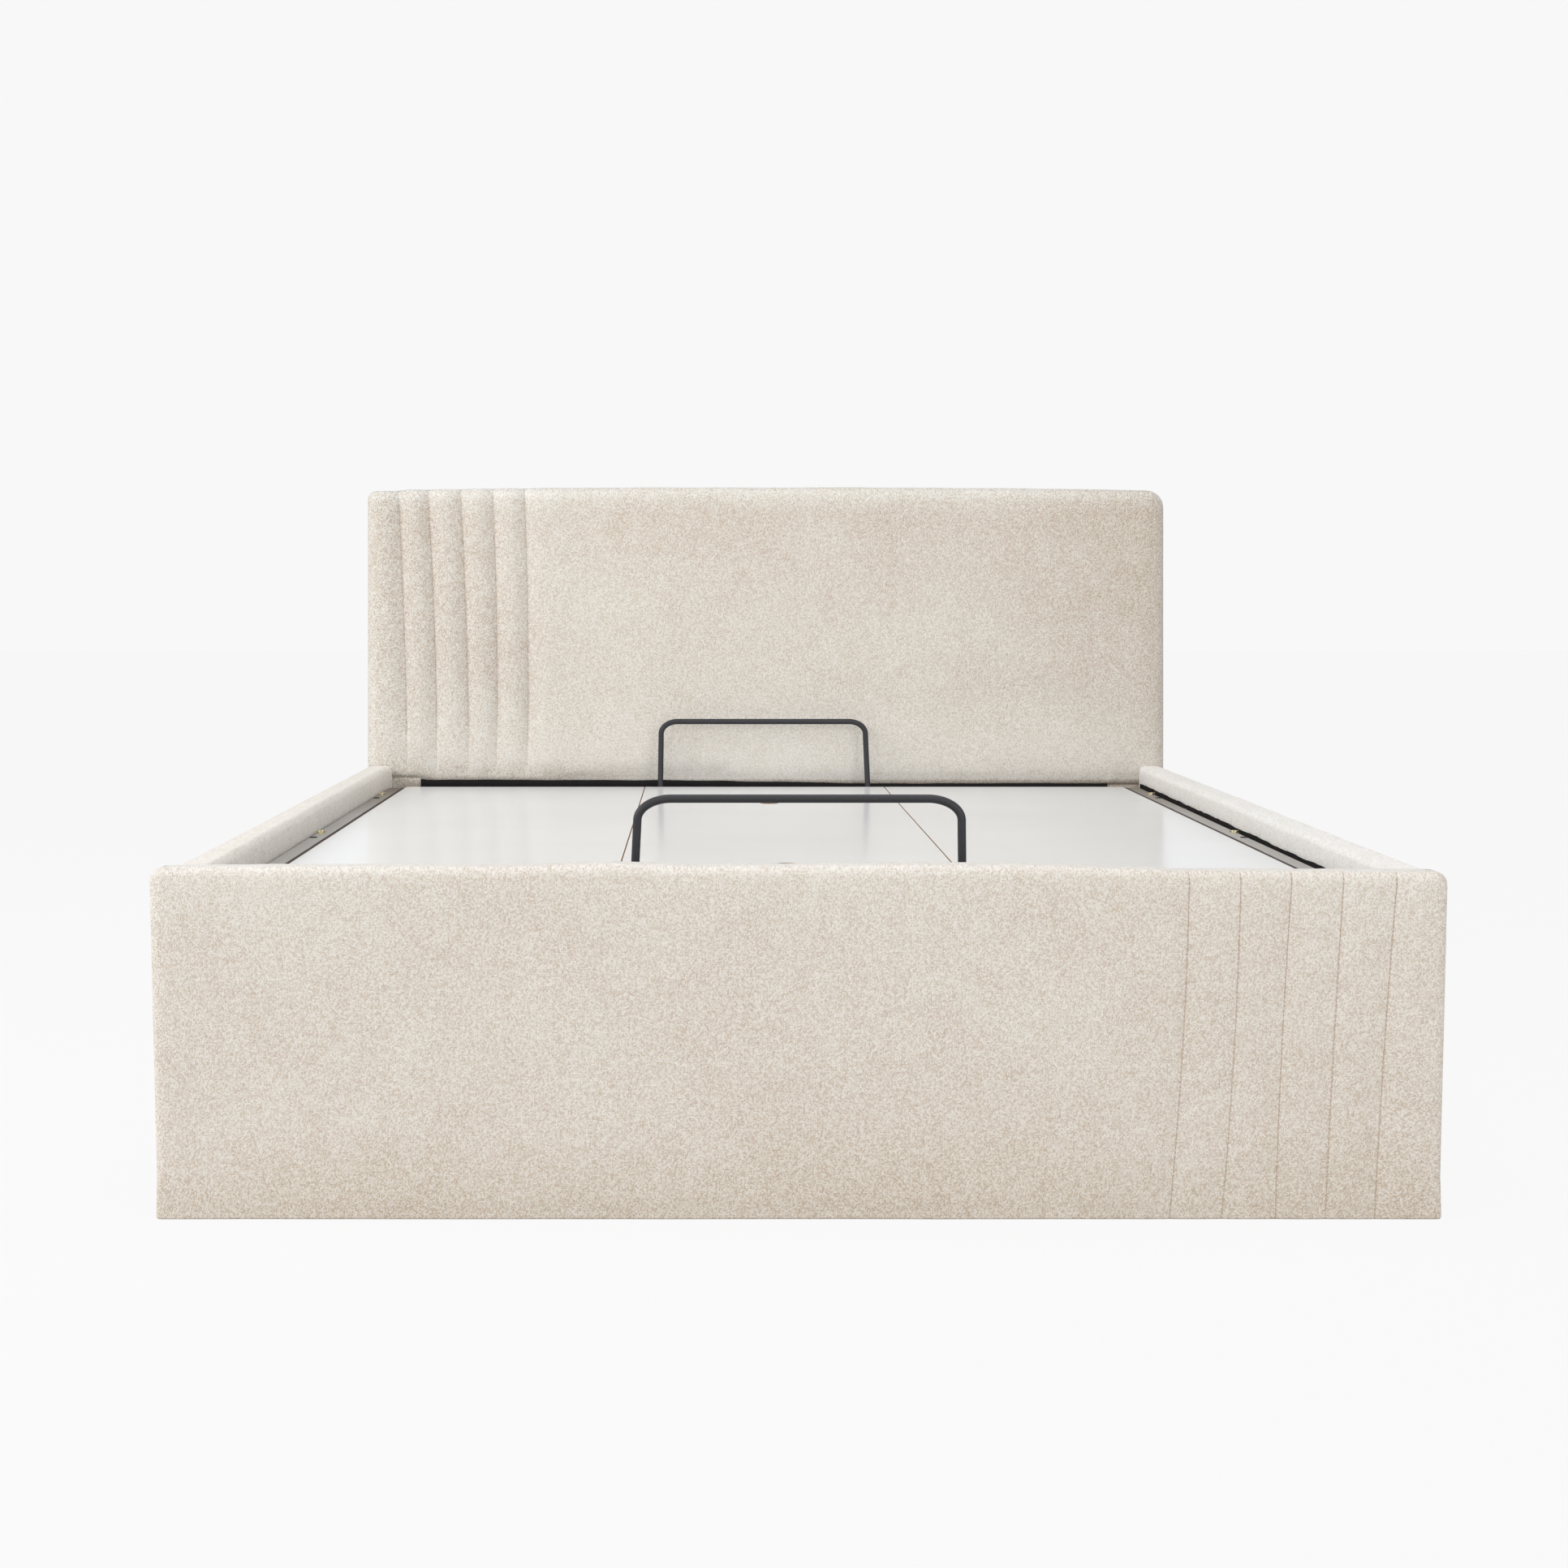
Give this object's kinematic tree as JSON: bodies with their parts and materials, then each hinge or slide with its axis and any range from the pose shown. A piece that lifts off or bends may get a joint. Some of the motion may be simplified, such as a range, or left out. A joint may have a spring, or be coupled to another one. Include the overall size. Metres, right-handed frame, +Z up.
{
  "type": "hydraulic storage bed",
  "caption": "Upholstered bed with a tilting platform on gas struts over a storage box, channelled headboard and footboard, and bent-rod mattress retainers.",
  "frame": {"origin": "on the floor, below the middle of the bed's length and width", "axes": "+Y from the footboard to the headboard, +X to the right as seen from the foot, +Z up"},
  "size_m": [1.65, 2.1499, 1.015],
  "materials": {
    "chenille": "soft looped chenille upholstery, warm oatmeal",
    "lining": "black non-woven dust lining",
    "timber": "planed softwood and plywood, unfinished",
    "laminate": "white laminated board with a satin face",
    "grey_steel": "grey powder-coated steel",
    "black_steel": "matt black powder-coated steel",
    "yellow_zinc": "yellow zinc-plated bolt heads",
    "polished_rod": "polished strut rod",
    "glide": "black plastic glide"
  },
  "bodies": {
    "base": {"headboard_pad": "chenille", "headboard_panel": "timber", "headboard_back_cover": "lining", "headboard_inner_lining": "lining", "footboard_pad": "chenille", "footboard_panel": "timber", "footboard_inner_lining": "lining", "rail_board_left": "timber", "rail_board_right": "timber", "rail_cover_left": "chenille", "rail_cover_right": "chenille", "rail_lining_left": "lining", "rail_lining_right": "lining", "floor_ledger_left": "timber", "floor_ledger_right": "timber", "storage_floor_left": "laminate", "storage_floor_right": "laminate", "floor_beam": "timber", "storage_divider": "laminate", "glide_head_left": "glide", "glide_head_right": "glide", "glide_foot_left": "glide", "glide_foot_right": "glide", "glide_beam_front": "glide", "glide_beam_rear": "glide", "corner_bracket_head_left": "grey_steel", "corner_bracket_head_right": "grey_steel", "corner_bracket_foot_left": "grey_steel", "corner_bracket_foot_right": "grey_steel", "pivot_bracket_left": "grey_steel", "pivot_bracket_right": "grey_steel", "strut_anchor_left": "grey_steel", "strut_anchor_right": "grey_steel"},
    "platform": {"side_tube_left": "grey_steel", "side_tube_right": "grey_steel", "cross_tube_foot": "grey_steel", "cross_tube_front": "grey_steel", "cross_tube_middle": "grey_steel", "cross_tube_pivot": "grey_steel", "cross_tube_head": "grey_steel", "strut_plate_left": "grey_steel", "strut_plate_right": "grey_steel", "frame_bolt_left_front": "yellow_zinc", "frame_bolt_left_rear": "yellow_zinc", "frame_bolt_right_front": "yellow_zinc", "frame_bolt_right_rear": "yellow_zinc", "platform_board_left": "laminate", "platform_board_centre": "laminate", "platform_board_right": "laminate", "retainer_head": "black_steel", "retainer_foot": "black_steel", "retainer_clamp_head_left": "black_steel", "retainer_clamp_head_right": "black_steel", "retainer_clamp_foot_left": "black_steel", "retainer_clamp_foot_right": "black_steel"},
    "strut_tube_left": {"strut_cylinder_left": "black_steel"},
    "strut_tube_right": {"strut_cylinder_right": "black_steel"},
    "strut_piston_left": {"strut_rod_left": "polished_rod"},
    "strut_piston_right": {"strut_rod_right": "polished_rod"}
  },
  "joints": [
    {"name": "platform_lift", "type": "hinge", "parent": "base", "child": "platform", "pos_m": [0, 0.47, 0.378], "axis": [-1, 0, 0], "range_deg": [0, 40]},
    {"name": "strut_left_swing", "type": "hinge", "parent": "base", "child": "strut_tube_left", "pos_m": [-0.757, 0.2375, 0.0774], "axis": [-1, 0, 0], "range_deg": [0, 20]},
    {"name": "strut_right_swing", "type": "hinge", "parent": "base", "child": "strut_tube_right", "pos_m": [0.757, 0.2375, 0.0774], "axis": [-1, 0, 0], "range_deg": [0, 20]},
    {"name": "strut_left_slide", "type": "slide", "parent": "strut_tube_left", "child": "strut_piston_left", "axis": [0, -0.4814, 0.8765], "range_m": [0, 0.2202]},
    {"name": "strut_right_slide", "type": "slide", "parent": "strut_tube_right", "child": "strut_piston_right", "axis": [0, -0.4814, 0.8765], "range_m": [0, 0.2202]}
  ],
  "couplings": [
    {"joint": "strut_left_swing", "follows": "platform_lift", "ratio": 0.5},
    {"joint": "strut_right_swing", "follows": "platform_lift", "ratio": 0.5},
    {"joint": "strut_left_slide", "follows": "platform_lift", "m_per_rad": 0.31527},
    {"joint": "strut_right_slide", "follows": "platform_lift", "m_per_rad": 0.31527}
  ]
}
